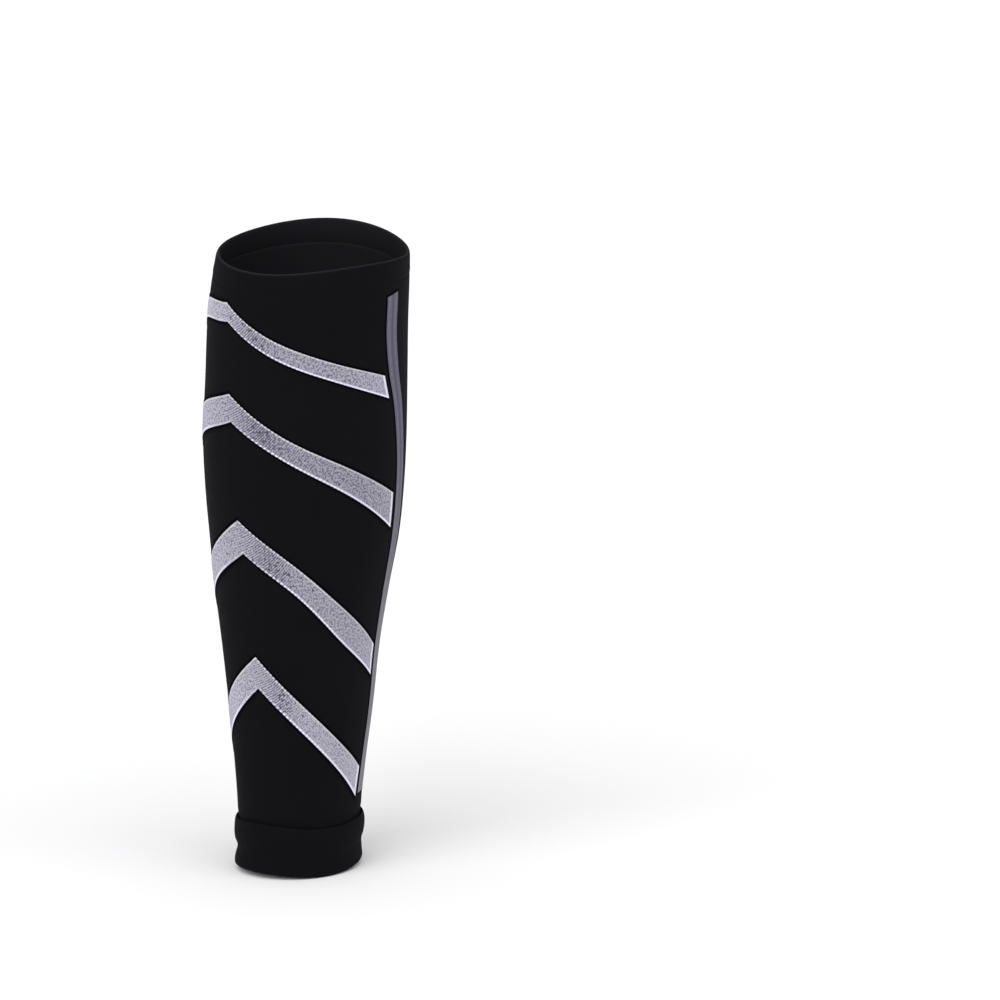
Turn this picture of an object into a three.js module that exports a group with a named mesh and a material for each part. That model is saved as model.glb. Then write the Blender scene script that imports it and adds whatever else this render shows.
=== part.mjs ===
// A calf compression sleeve in the shape it has on a leg: a fine knit tube with a folded cuff at each end,
// four chevron bands round the front and one stripe down the outer side. The sleeve has no foot.
// Millimetres, +Z up the leg. The shin faces -Y and the calf muscle +Y. The origin is the middle of the
// calf at its widest, which is where the leg holds the sleeve.
import * as THREE from "three";
import { mergeVertices } from "three/addons/utils/BufferGeometryUtils.js";

// The sleeve as worn, outside sizes
const LENGTH = 340;
const CALF_DEPTH = 112;
const CALF_BREADTH = 106.6;
const ANKLE_DEPTH = 71.4;
const ANKLE_BREADTH = 59.8;
// how far the middle of the rim lies behind the middle of the ankle
const RIM_SETBACK = 11.2;

// The knit
const WALL = 1.2;
const SEAM_GAP = 0.3;

// The top cuff, a narrow double fold
const TOP_CUFF_HEIGHT = 11.5;
const TOP_CUFF_THICKNESS = 2.3;
const TOP_CUFF_PROUD = 0.3;

// The ankle cuff, a taller double fold with a ridge that laps over the end of the tube
const ANKLE_CUFF_HEIGHT = 27.5;
const ANKLE_CUFF_LAP = 11.5;
const ANKLE_CUFF_PROUD = 2.1;
const ANKLE_CUFF_INSIDE = 1.4;

// The chevron bands
const BAND_BREADTH = 16;
const BAND_THICKNESS = 0.5;

// The side stripe
const STRIPE_BREADTH = 10;
const STRIPE_THICKNESS = 0.45;
const STRIPE_TO_TOP_CUFF = 6;
const STRIPE_TO_ANKLE_CUFF = 12.5;
// how far its upper end slopes down to its front edge
const STRIPE_SLANT = 2;

// Facets
const STEPS_ROUND = 56;
const TUBE_ROWS = 20;
const ARM_STEPS = 18;
const STRIPE_STEPS = 36;
const STRIPE_COLUMNS = 3;

// The leg's sections from the hem up. height is a share of LENGTH, swell goes from the ankle's section (0)
// to the calf's widest (1), and setback is a share of RIM_SETBACK.
const LEG = [
  { height: 0.0, swell: 0.0, setback: 0.0 },
  { height: 0.09, swell: 0.0, setback: 0.0 },
  { height: 0.16, swell: 0.085, setback: 0.05 },
  { height: 0.26, swell: 0.26, setback: 0.125 },
  { height: 0.36, swell: 0.43, setback: 0.14 },
  { height: 0.45, swell: 0.63, setback: 0.22 },
  { height: 0.54, swell: 0.83, setback: 0.38 },
  { height: 0.62, swell: 0.945, setback: 0.41 },
  { height: 0.7, swell: 1.0, setback: 0.43 },
  { height: 0.8, swell: 0.98, setback: 0.55 },
  { height: 0.89, swell: 0.96, setback: 0.65 },
  { height: 0.95, swell: 0.924, setback: 0.82 },
  { height: 1.0, swell: 0.858, setback: 1.0 },
];

// The rim, the hem and the ankle cuff's lip aren't level. Each wave runs so many times round the leg, lifts by
// rise, a share of that cuff's height, and is highest at high, in degrees from the shin. The rim's and the
// hem's waves fade away from that end, and the lip's fade down to the hem.
const RIM_WAVES = [
  { times: 1, rise: 0.31, high: -139 },
  { times: 2, rise: 0.15, high: 64 },
  { times: 3, rise: 0.085, high: -34 },
];
const HEM_WAVES = [
  { times: 1, rise: 0.013, high: -165 },
  { times: 2, rise: 0.04, high: -8 },
  { times: 3, rise: 0.015, high: 25 },
];
const LIP_WAVES = [
  { times: 1, rise: 0.042, high: -48 },
  { times: 2, rise: 0.027, high: 65 },
  { times: 3, rise: 0.027, high: 15 },
];
const WAVE_FADE = 6;

// The chevrons from the top down. apex is the height of the point and fall is how far each arm comes down,
// both shares of the tube between the cuffs. turn is the angle of the upper edge's point from the shin, and
// slip is how much further round the lower edge's point lies, both in degrees. to_stripe is the plain knit
// between the outer arm's end and the stripe, a share of the band's breadth.
const CHEVRONS = [
  { apex: 0.9561, turn: -3.6, slip: 3.0, fall: 0.1466, to_stripe: 0.269 },
  { apex: 0.7811, turn: 3.0, slip: 2.9, fall: 0.2045, to_stripe: 0.25 },
  { apex: 0.5444, turn: 9.9, slip: 3.3, fall: 0.2508, to_stripe: 0.063 },
  { apex: 0.2908, turn: 19.2, slip: 1.0, fall: 0.2264, to_stripe: 0.181 },
];

// The parts of each chevron's fall that are reached a third and two thirds along its outer arm, and a third
// along its inner one
const CHEVRON_FALLS = [
  { third: 0.403, two_thirds: 0.719, inner_third: 0.143 },
  { third: 0.329, two_thirds: 0.641, inner_third: 0.223 },
  { third: 0.296, two_thirds: 0.672, inner_third: 0.314 },
  { third: 0.345, two_thirds: 0.68, inner_third: 0.325 },
];

// The upright breadth of each chevron along its outer arm and a third along its inner one, as shares of
// BAND_BREADTH
const CHEVRON_BREADTHS = [
  { point: 0.65, third: 0.7, two_thirds: 0.71, end: 0.81, inner_third: 0.65 },
  { point: 0.96, third: 0.85, two_thirds: 0.97, end: 1.22, inner_third: 0.96 },
  { point: 1.16, third: 1.08, two_thirds: 1.23, end: 1.08, inner_third: 0.98 },
  { point: 1.12, third: 0.97, two_thirds: 0.92, end: 1.03, inner_third: 1.06 },
];

// The stripe's front edge: height is a share of the tube between the cuffs, turn is its angle from the shin.
const STRIPE_EDGE = [
  { height: 0.0, turn: 120.7 },
  { height: 0.12, turn: 123.5 },
  { height: 0.24, turn: 123.4 },
  { height: 0.37, turn: 121.0 },
  { height: 0.5, turn: 118.5 },
  { height: 0.6, turn: 118.2 },
  { height: 0.68, turn: 116.8 },
  { height: 0.77, turn: 112.2 },
  { height: 0.835, turn: 106.5 },
  { height: 0.9, turn: 103.6 },
  { height: 0.97, turn: 103.4 },
  { height: 1.0, turn: 102.6 },
];

// The top cuff's outline, from the foot of its inner face round the rim. out runs from its inner face (0)
// to its outer face (1), and up is a share of its height.
const TOP_CUFF = [
  { out: 0.0, up: 0.0 },
  { out: 0.94, up: 0.0 },
  { out: 1.0, up: 0.07 },
  { out: 1.0, up: 0.45 },
  { out: 0.98, up: 0.8 },
  { out: 0.86, up: 0.93 },
  { out: 0.62, up: 1.0 },
  { out: 0.36, up: 1.0 },
  { out: 0.12, up: 0.94 },
  { out: 0.0, up: 0.82 },
  { out: 0.0, up: 0.4 },
];

// The ankle cuff's outline from its inner face round the hem and up the outer face, with up a share of its
// height. out is 0 at the tube's outer face, 1 at the ridge and -1 at the cuff's inner face. The hem bulges on
// one side, given in degrees from the shin, and lies flat on the other: sway is added on the bulging side and
// taken away on the other.
const BULGING_SIDE = -40;
const ANKLE_CUFF = [
  { out: -1.0, sway: 0, up: 0.05 },
  { out: -0.6, sway: 0, up: 0.0 },
  { out: 0.17, sway: 0.04, up: 0.0 },
  { out: 0.56, sway: 0.27, up: 0.03 },
  { out: 0.61, sway: 0.35, up: 0.08 },
  { out: 0.53, sway: 0.34, up: 0.15 },
  { out: 0.41, sway: 0.28, up: 0.23 },
  { out: 0.21, sway: 0.13, up: 0.31 },
  { out: 0.09, sway: 0.03, up: 0.38 },
  { out: 0.21, sway: 0.03, up: 0.45 },
  { out: 0.69, sway: 0.1, up: 0.53 },
  { out: 0.96, sway: 0.06, up: 0.63 },
  { out: 1.03, sway: 0.01, up: 0.76 },
  { out: 0.93, sway: -0.04, up: 0.88 },
  { out: 0.71, sway: 0.05, up: 0.965 },
  { out: 0.42, sway: 0.06, up: 1.0 },
];

// Smooth value of a table's column at a place along its key column.
function along(rows, key, column, at) {
  const last = rows.length - 1;
  const place = Math.min(Math.max(at, rows[0][key]), rows[last][key]);
  let i = 0;
  while (i < last - 1 && place > rows[i + 1][key]) i += 1;
  const slope = (k) => {
    const a = rows[Math.max(k - 1, 0)];
    const b = rows[Math.min(k + 1, last)];
    return (b[column] - a[column]) / (b[key] - a[key]);
  };
  const from = rows[i];
  const to = rows[i + 1];
  const width = to[key] - from[key];
  const t = (place - from[key]) / width;
  return (
    (1 + 2 * t) * (1 - t) ** 2 * from[column] +
    t * (1 - t) ** 2 * width * slope(i) +
    t * t * (3 - 2 * t) * to[column] +
    t * t * (t - 1) * width * slope(i + 1)
  );
}

const radians = THREE.MathUtils.degToRad;

// The leg's half depth, half breadth and setback at a height above the hem.
function section(height) {
  const share = height / LENGTH;
  const swell = along(LEG, "height", "swell", share);
  return {
    depth: THREE.MathUtils.lerp(ANKLE_DEPTH, CALF_DEPTH, swell) / 2,
    breadth: THREE.MathUtils.lerp(ANKLE_BREADTH, CALF_BREADTH, swell) / 2,
    setback: RIM_SETBACK * along(LEG, "height", "setback", share),
  };
}

// How far waves lift an end at an angle. size is the height that their rise is a share of.
function lift(waves, size, angle) {
  return waves.reduce(
    (sum, { times, rise, high }) => sum + size * rise * Math.cos(times * (angle - radians(high))),
    0,
  );
}

// The point at an angle from the shin (towards +X), a height above the hem and an offset out of the tube.
function onLeg(angle, height, offset) {
  const { depth, breadth, setback } = section(height);
  const share = height / LENGTH;
  const rimLift = lift(RIM_WAVES, TOP_CUFF_HEIGHT, angle) * share ** WAVE_FADE;
  const hemLift = lift(HEM_WAVES, ANKLE_CUFF_HEIGHT, angle) * (1 - share) ** WAVE_FADE;
  return new THREE.Vector3(
    (breadth + offset) * Math.sin(angle),
    setback - (depth + offset) * Math.cos(angle),
    height + rimLift + hemLift,
  );
}

// Millimetres along the tube's face for each radian round it.
function reach(angle, height) {
  const { depth, breadth } = section(height);
  return Math.hypot(breadth * Math.cos(angle), depth * Math.sin(angle));
}

// Moves each vertex of a geometry to where place() puts it.
function laid(geometry, place) {
  geometry.deleteAttribute("normal");
  geometry.deleteAttribute("uv");
  const position = geometry.getAttribute("position");
  const vertex = new THREE.Vector3();
  for (let i = 0; i < position.count; i += 1) {
    vertex.fromBufferAttribute(position, i);
    const moved = place(vertex, i);
    position.setXYZ(i, moved.x, moved.y, moved.z);
  }
  const merged = mergeVertices(geometry, 1e-4);
  merged.computeVertexNormals();
  return merged;
}

const ROUND_FORM = CALF_DEPTH / 2;

// A closed ring round the leg. outline(angle) lists its offsets and heights there, in the same order all round.
function ring(outline) {
  const rows = outline(0);
  const points = [...rows, rows[0]].map(([offset, height]) => new THREE.Vector2(ROUND_FORM + offset, height));
  return laid(new THREE.LatheGeometry(points, STEPS_ROUND), (v, index) => {
    const angle = Math.atan2(v.x, v.z);
    const [offset, height] = outline(angle)[(index % points.length) % rows.length];
    return onLeg(angle, height, offset);
  });
}

// A thin strip on the tube's face. place() turns (-1 to 1 along, -1 to 1 across) into an angle and a height.
function strip(thickness, steps, across, place) {
  return laid(new THREE.BoxGeometry(2, 2, 1, steps, across, 1), (v) => {
    const { angle, height } = place(v.x, v.y);
    return onLeg(angle, height, SEAM_GAP + thickness * (v.z + 0.5));
  });
}

// The tube's ends, and the stretch of it that shows between the two cuffs
const TUBE_TOP = LENGTH - TOP_CUFF_HEIGHT;
const TUBE_FOOT = ANKLE_CUFF_HEIGHT - ANKLE_CUFF_LAP;
const FIELD = TUBE_TOP - ANKLE_CUFF_HEIGHT;

function legTube() {
  const head = TUBE_TOP - SEAM_GAP;
  const heights = Array.from({ length: TUBE_ROWS + 1 }, (_, i) =>
    THREE.MathUtils.lerp(TUBE_FOOT, head, i / TUBE_ROWS),
  );
  const outline = [...heights.map((h) => [0, h]), ...heights.reverse().map((h) => [-WALL, h])];
  return ring(() => outline);
}

function topCuff() {
  const inner = TOP_CUFF_PROUD - TOP_CUFF_THICKNESS;
  const outline = TOP_CUFF.map(({ out, up }) => [
    inner + TOP_CUFF_THICKNESS * out,
    TUBE_TOP + TOP_CUFF_HEIGHT * up,
  ]);
  return ring(() => outline);
}

function ankleCuff() {
  const lap = TUBE_FOOT - SEAM_GAP;
  return ring((angle) => {
    const side = Math.cos(angle - radians(BULGING_SIDE));
    const lip = ANKLE_CUFF_HEIGHT + lift(LIP_WAVES, ANKLE_CUFF_HEIGHT, angle);
    const outline = ANKLE_CUFF.map(({ out, sway, up }) => {
      const away = out + sway * side;
      return [away * (away > 0 ? ANKLE_CUFF_PROUD : ANKLE_CUFF_INSIDE), lip * up];
    });
    return [...outline, [SEAM_GAP, lip], [SEAM_GAP, lap], [-ANKLE_CUFF_INSIDE, lap]];
  });
}

// The angle of the stripe's front edge at a height, and of a line that lies a distance in front of it.
function stripeFront(height, ahead = 0) {
  const angle = radians(along(STRIPE_EDGE, "height", "turn", (height - ANKLE_CUFF_HEIGHT) / FIELD));
  return angle - ahead / reach(angle, height);
}

function chevron(index) {
  const { apex, turn, slip, fall, to_stripe } = CHEVRONS[index];
  const falls = CHEVRON_FALLS[index];
  const breadths = CHEVRON_BREADTHS[index];
  const point = ANKLE_CUFF_HEIGHT + FIELD * apex;
  const arm = (third) => [
    { at: 0, drop: 0, breadth: breadths.point },
    { at: 1 / 3, drop: falls[third], breadth: breadths[third] },
    { at: 2 / 3, drop: falls.two_thirds, breadth: breadths.two_thirds },
    { at: 1, drop: 1, breadth: breadths.end },
  ];
  const outer = arm("third");
  const inner = arm("inner_third");
  return strip(BAND_THICKNESS, 2 * ARM_STEPS, 2, (u, v) => {
    const way = Math.abs(u);
    const side = u > 0 ? outer : inner;
    const half = (BAND_BREADTH / 2) * along(side, "at", "breadth", way);
    const start = radians(turn + (slip * (1 - v)) / 2);
    const endHeight = point - FIELD * fall + (BAND_BREADTH / 2) * breadths.end * v;
    const sweep = stripeFront(endHeight, BAND_BREADTH * to_stripe) - start;
    return {
      angle: start + u * sweep,
      height: point - FIELD * fall * along(side, "at", "drop", way) + half * v,
    };
  });
}

function sideStripe() {
  const bottom = ANKLE_CUFF_HEIGHT + STRIPE_TO_ANKLE_CUFF;
  const top = TUBE_TOP - STRIPE_TO_TOP_CUFF;
  return strip(STRIPE_THICKNESS, STRIPE_COLUMNS, STRIPE_STEPS, (u, v) => {
    const height = THREE.MathUtils.lerp(bottom, top - (STRIPE_SLANT * (1 - u)) / 2, (v + 1) / 2);
    return { angle: stripeFront(height, (-STRIPE_BREADTH * (u + 1)) / 2), height };
  });
}

function cloth(color, roughness) {
  return new THREE.MeshStandardMaterial({ color, roughness, metalness: 0 });
}

const sleeve = new THREE.Group();
const calf = LEG.find(({ swell }) => swell === 1);
sleeve.position.set(0, -RIM_SETBACK * calf.setback, -LENGTH * calf.height);

function add(name, geometry, material) {
  const mesh = new THREE.Mesh(geometry, material);
  mesh.name = name;
  sleeve.add(mesh);
}

add("leg_tube", legTube(), cloth(0x1a1b1d, 0.85));
add("top_cuff", topCuff(), cloth(0x17181a, 0.88));
add("ankle_cuff", ankleCuff(), cloth(0x17181a, 0.88));
CHEVRONS.forEach((_, i) => {
  add(`chevron_${i + 1}`, chevron(i), cloth(0xa9a6b6, 0.8));
});
add("side_stripe", sideStripe(), cloth(0x706e7a, 0.82));

const part = new THREE.Group();
part.add(sleeve);

export default part;
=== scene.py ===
"""A knit calf compression sleeve in the form it has on a leg: a fine jersey tube, a folded cuff at each end,
four chevron bands round the shin and a stripe down the outer side, on a pale studio floor.

Every piece is laid on one leg form by its angle from the shin, its height above the hem and its offset out
of the tube, in metres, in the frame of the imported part.
"""

import math

import bpy
from bpy.props import FloatProperty, FloatVectorProperty, IntProperty, PointerProperty
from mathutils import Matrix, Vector


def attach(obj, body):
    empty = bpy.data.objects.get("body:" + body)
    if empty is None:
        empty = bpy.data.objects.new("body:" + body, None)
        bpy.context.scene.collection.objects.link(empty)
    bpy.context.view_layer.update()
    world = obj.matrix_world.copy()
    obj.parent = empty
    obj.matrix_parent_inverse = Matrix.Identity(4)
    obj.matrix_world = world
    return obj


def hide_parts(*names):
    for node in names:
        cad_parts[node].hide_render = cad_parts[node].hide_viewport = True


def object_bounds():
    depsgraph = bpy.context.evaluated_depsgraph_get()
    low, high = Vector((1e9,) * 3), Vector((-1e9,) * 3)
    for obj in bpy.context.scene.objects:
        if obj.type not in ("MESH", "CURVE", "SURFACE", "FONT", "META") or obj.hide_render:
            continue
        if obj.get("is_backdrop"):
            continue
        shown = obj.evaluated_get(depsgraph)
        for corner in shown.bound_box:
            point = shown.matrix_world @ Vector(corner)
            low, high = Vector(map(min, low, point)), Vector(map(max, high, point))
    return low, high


bl_info = {
    "name": "Calf compression sleeve",
    "version": (1, 0, 0),
    "blender": (4, 5, 0),
    "location": "3D Viewport > Sidebar > Sleeve",
    "description": "Knits a calf sleeve with chevron bands and a side stripe round the packed part",
    "category": "Object",
}

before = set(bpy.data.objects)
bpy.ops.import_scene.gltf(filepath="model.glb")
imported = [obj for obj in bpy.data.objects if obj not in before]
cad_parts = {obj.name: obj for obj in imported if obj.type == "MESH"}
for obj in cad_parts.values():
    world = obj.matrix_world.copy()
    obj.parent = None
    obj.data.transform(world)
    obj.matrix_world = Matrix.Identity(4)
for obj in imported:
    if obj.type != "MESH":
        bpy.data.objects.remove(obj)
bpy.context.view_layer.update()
MM = 0.001

# A wave texture's scale times its pitch in metres
WAVE = math.tau / 20

# Vertices nearer to each other than this are merged
SAME_PLACE = 0.02 * MM


def table(columns, *rows):
    """A table's rows, each as a dictionary with named columns."""
    return [dict(zip(columns.split(), row)) for row in rows]


# The leg's sections from the hem up. height is a share of the length, swell goes from the ankle's section (0)
# to the calf's widest (1), and setback is a share of the rim's.
LEG = table(
    "height swell setback",
    (0.0, 0.0, 0.0),
    (0.09, 0.0, 0.0),
    (0.16, 0.085, 0.05),
    (0.26, 0.26, 0.125),
    (0.36, 0.43, 0.14),
    (0.45, 0.63, 0.22),
    (0.54, 0.83, 0.38),
    (0.62, 0.945, 0.41),
    (0.7, 1.0, 0.43),
    (0.8, 0.98, 0.55),
    (0.89, 0.96, 0.65),
    (0.95, 0.924, 0.82),
    (1.0, 0.858, 1.0),
)
CALF = next(row for row in LEG if row["swell"] == 1.0)

# The rim, the hem and the ankle cuff's lip aren't level. Each wave runs so many times round the leg, lifts by
# rise, a share of that cuff's height, and is highest at high, in degrees from the shin. The rim's and the
# hem's waves fade away from that end, and the lip's fade down to the hem.
RIM_WAVES = table("times rise high", (1, 0.31, -139), (2, 0.15, 64), (3, 0.085, -34))
HEM_WAVES = table("times rise high", (1, 0.013, -165), (2, 0.04, -8), (3, 0.015, 25))
LIP_WAVES = table("times rise high", (1, 0.042, -48), (2, 0.027, 65), (3, 0.027, 15))
WAVE_FADE = 6

# The chevrons from the top down. apex is the height of the point and fall is how far each arm comes down,
# both shares of the tube between the cuffs. turn is the angle of the upper edge's point from the shin, and
# slip is how much further round the lower edge's point lies, both in degrees. to_stripe is the plain knit
# between the outer arm's end and the stripe, a share of the band's breadth. inner_shade and outer_shade are
# how much darker its arms' knit is than the others'.
CHEVRONS = table(
    "apex turn slip fall to_stripe inner_shade outer_shade",
    (0.9561, -3.6, 3.0, 0.1466, 0.269, -0.09, -0.02),
    (0.7811, 3.0, 2.9, 0.2045, 0.25, 0.03, 0.05),
    (0.5444, 9.9, 3.3, 0.2508, 0.18, 0.06, -0.05),
    (0.2908, 19.2, 1.0, 0.2264, 0.181, 0.06, -0.16),
)

# The parts of each chevron's fall that are reached a third and two thirds along its outer arm, and a third
# along its inner one
CHEVRON_FALLS = table(
    "third two_thirds inner_third",
    (0.403, 0.719, 0.143),
    (0.329, 0.641, 0.223),
    (0.296, 0.672, 0.314),
    (0.345, 0.68, 0.325),
)

# The upright breadth of each chevron along its outer arm and a third along its inner one, as shares of the
# band's breadth
CHEVRON_BREADTHS = table(
    "point third two_thirds end inner_third",
    (0.65, 0.7, 0.71, 0.81, 0.65),
    (0.96, 0.85, 0.97, 1.22, 0.96),
    (1.16, 1.08, 1.23, 1.08, 0.98),
    (1.12, 0.97, 0.92, 1.03, 1.06),
)

# How a band's knit changes from its inner end (-1) over its point (0) to its outer end (1). shade is the
# share of darker yarn and grain the contrast between the yarns. strokes is how far they lie in strokes, not
# speckles, and lean how far the strokes lean over towards the outer end, in degrees. flecks is how many dark
# stitches show, and lower and upper are how bright the stitches along those edges are.
BAND_TONES = table(
    "at shade grain strokes lean flecks lower upper",
    (-1.0, 0.22, 0.45, 0.0, 70, 0.2, 1.0, 1.0),
    (-0.3, 0.29, 0.5, 0.0, 70, 0.3, 1.0, 0.9),
    (-0.1, 0.49, 0.6, 0.25, 68, 0.3, 0.4, 0.8),
    (0.05, 0.64, 0.8, 1.0, 64, 0.4, 0.5, 1.0),
    (0.2, 0.8, 0.9, 0.9, 50, 1.0, 0.9, 1.0),
    (0.35, 0.71, 0.6, 0.6, 42, 0.6, 1.0, 0.9),
    (0.7, 0.67, 0.5, 0.2, 40, 0.45, 0.85, 0.6),
    (1.0, 0.5, 0.45, 0.0, 40, 0.35, 1.0, 0.6),
)

# The stripe's front edge: height is a share of the tube between the cuffs, turn its angle from the shin.
STRIPE_EDGE = table(
    "height turn",
    (0.0, 120.7),
    (0.12, 123.5),
    (0.24, 123.4),
    (0.37, 121.0),
    (0.5, 118.5),
    (0.6, 118.2),
    (0.68, 116.8),
    (0.77, 112.2),
    (0.835, 106.5),
    (0.9, 103.6),
    (0.97, 103.4),
    (1.0, 102.6),
)

# The top cuff's outline round its fold: out runs from its inner face (0) to its outer face (1), up is a
# share of its height. Both faces taper to a thin lip over the tube's end, which hides the seam.
TOP_CUFF = table(
    "out up",
    (0.33, -0.07),
    (0.36, -0.022),
    (0.6, -0.015),
    (0.86, -0.022),
    (0.885, -0.08),
    (0.92, 0.0),
    (0.99, 0.08),
    (1.03, 0.16),
    (1.0, 0.25),
    (0.97, 0.45),
    (1.0, 0.68),
    (0.98, 0.86),
    (0.8, 0.98),
    (0.5, 1.015),
    (0.2, 0.98),
    (0.02, 0.86),
    (0.0, 0.6),
    (0.02, 0.35),
    (0.14, 0.12),
    (0.28, 0.0),
)

# The ankle cuff's outline from its inner face round the hem and up the outer face to the lip: up is a share
# of its height, and out is 0 at the tube's outer face, 1 at the ridge and -1 at the cuff's inner face. sway
# is added on the side where the hem bulges and taken away on the other.
ANKLE_CUFF = table(
    "out sway up",
    (-1.0, 0.0, 0.3),
    (-1.0, 0.0, 0.1),
    (-0.85, 0.0, 0.02),
    (-0.35, 0.0, -0.005),
    (0.17, 0.04, 0.0),
    (0.56, 0.27, 0.03),
    (0.61, 0.35, 0.08),
    (0.53, 0.34, 0.15),
    (0.41, 0.28, 0.23),
    (0.21, 0.13, 0.31),
    (0.09, 0.03, 0.38),
    (0.21, 0.03, 0.45),
    (0.69, 0.1, 0.53),
    (0.96, 0.06, 0.63),
    (1.03, 0.01, 0.76),
    (0.93, -0.04, 0.88),
    (0.71, 0.05, 0.965),
    (0.42, 0.06, 1.0),
    (0.18, 0.0, 0.97),
)


# The stage's soft suns: turn is an angle from the shin, raised one above level and spread a sun's breadth as
# seen from the floor, all in degrees
LIGHTS = table(
    "name turn raised spread strength",
    ("key_light", 15, 42, 50, 1.35),
    ("fill_light", 95, 35, 70, 0.7),
    ("top_light", 50, 85, 60, 0.45),
)


def clamp(value, low=0.0, high=1.0):
    return min(max(value, low), high)


def along(rows, key, column, at):
    """Smooth value of a table's column at a place along its key column."""
    last = len(rows) - 1
    place = clamp(at, rows[0][key], rows[last][key])
    i = 0
    while i < last - 1 and place > rows[i + 1][key]:
        i += 1

    def slope(k):
        before, after = rows[max(k - 1, 0)], rows[min(k + 1, last)]
        return (after[column] - before[column]) / (after[key] - before[key])

    start, end = rows[i], rows[i + 1]
    width = end[key] - start[key]
    t = (place - start[key]) / width
    return (
        (1 + 2 * t) * (1 - t) ** 2 * start[column]
        + t * (1 - t) ** 2 * width * slope(i)
        + t * t * (3 - 2 * t) * end[column]
        + t * t * (t - 1) * width * slope(i + 1)
    )


def mix(a, b, share):
    return a + (b - a) * share


def hermite(share):
    """A share from 0 to 1, eased at both ends."""
    return share * share * (3 - 2 * share)


def hump(distance, reach):
    """1 at no distance, falling away smoothly over reach on both sides."""
    return math.exp(-((distance / reach) ** 2))


def crown(depth, foot, top):
    """How far a rounded face has risen (0 to 1) at a depth in from its edge: none at foot, all at top."""
    left = 1 - clamp((depth - foot) / (top - foot))
    return 1 - left**2


def towards(turn, raised):
    """The way to what stands at an angle round from the shin and an angle above level."""
    level = math.cos(raised)
    return Vector((math.sin(turn) * level, -math.cos(turn) * level, math.sin(raised)))


def lift(waves, size, turn):
    """Metres by which waves lift an end at an angle from the shin. Their rise is a share of size."""
    return sum(size * w["rise"] * math.cos(w["times"] * (turn - math.radians(w["high"]))) for w in waves)


def millimetres(default_mm, name, description):
    """A length property, its default given in millimetres."""
    return FloatProperty(
        name=name, description=description, default=default_mm * MM, min=0.0, precision=5, unit="LENGTH"
    )


def yarn(default_hex, name, description):
    """A colour property, its default given as an sRGB hex value."""
    colour = linear(default_hex)
    return FloatVectorProperty(
        name=name, description=description, subtype="COLOR", size=4, min=0.0, max=1.0, default=colour
    )


def linear(hex_value):
    """The linear colour, with alpha, of an sRGB hex value such as #1A1B1D."""
    channels = [int(hex_value[i : i + 2], 16) / 255 for i in (1, 3, 5)]
    return tuple(c / 12.92 if c <= 0.04045 else ((c + 0.055) / 1.055) ** 2.4 for c in channels) + (1.0,)


def scaled(colour, share):
    """A linear colour made lighter or darker."""
    return tuple(share * channel for channel in colour[:3]) + (1.0,)


class SleeveSizes(bpy.types.PropertyGroup):
    """The sleeve's sizes as worn."""

    length: millimetres(340, "Length", "From the hem to the rim, along the leg")
    calf_depth: millimetres(112, "Calf depth", "Outside, from shin to calf muscle at the widest")
    calf_breadth: millimetres(106.6, "Calf breadth", "Outside, from side to side at the widest")
    ankle_depth: millimetres(71.4, "Ankle depth", "Outside, from front to back")
    ankle_breadth: millimetres(59.8, "Ankle breadth", "Outside, from side to side")
    rim_setback: millimetres(11.2, "Rim setback", "How far the rim's middle lies behind the ankle's")
    wall: millimetres(1.2, "Wall", "Thickness of the tube's knit")
    seam_gap: millimetres(0.3, "Seam gap", "Between the tube's ends and the cuffs")
    top_cuff_height: millimetres(11.5, "Top cuff height", "From its lower edge to the rim")
    top_cuff_thickness: millimetres(2.3, "Top cuff thickness", "Of the double fold")
    top_cuff_proud: millimetres(0.3, "Top cuff proud", "How far it stands out of the tube")
    ankle_cuff_height: millimetres(27.5, "Ankle cuff height", "From the hem to its lip")
    ankle_cuff_lap: millimetres(11.5, "Ankle cuff lap", "How far it laps over the tube's end")
    ankle_cuff_proud: millimetres(2.1, "Ankle cuff proud", "How far its ridge stands out of the tube")
    ankle_cuff_inside: millimetres(1.4, "Ankle cuff inside", "From the tube's outer face to its inner one")
    bulging_side: FloatProperty(
        name="Bulging side",
        description="Where the hem bulges most, from the shin",
        default=math.radians(-40),
        subtype="ANGLE",
    )
    grip: millimetres(0.7, "Grip", "Depth of the groove that the ankle cuff's lip presses into the tube")
    grip_reach: millimetres(2.5, "Grip reach", "How far up the tube that groove runs out")
    band_breadth: millimetres(16, "Band breadth", "Upright breadth of a chevron band")
    outline: millimetres(1.9, "Outline", "Breadth of the dark line above and below each band")
    end_outline: millimetres(0.5, "End outline", "Breadth of the dark line beyond each band's ends")
    stripe_outline: millimetres(1.0, "Stripe outline", "Breadth of the dark line round the stripe")
    tooth: millimetres(2.4, "Tooth", "Pitch of the stitches along the bands' edges")
    stripe_breadth: millimetres(10, "Stripe breadth", "Round the leg")
    stripe_to_top_cuff: millimetres(6, "Stripe to top cuff", "Plain tube above the stripe")
    stripe_to_ankle_cuff: millimetres(12.5, "Stripe to ankle cuff", "Plain tube below the stripe")
    stripe_slant: millimetres(2, "Stripe slant", "How far its upper end slopes down to its front edge")
    stretch: FloatProperty(
        name="Stretch", description="Girth on the leg over girth off it", default=1.3, min=1.0
    )
    columns: IntProperty(name="Columns", description="Faces round the tube", default=192, min=16)
    rows: IntProperty(name="Rows", description="Faces up the tube", default=150, min=8)


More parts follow.
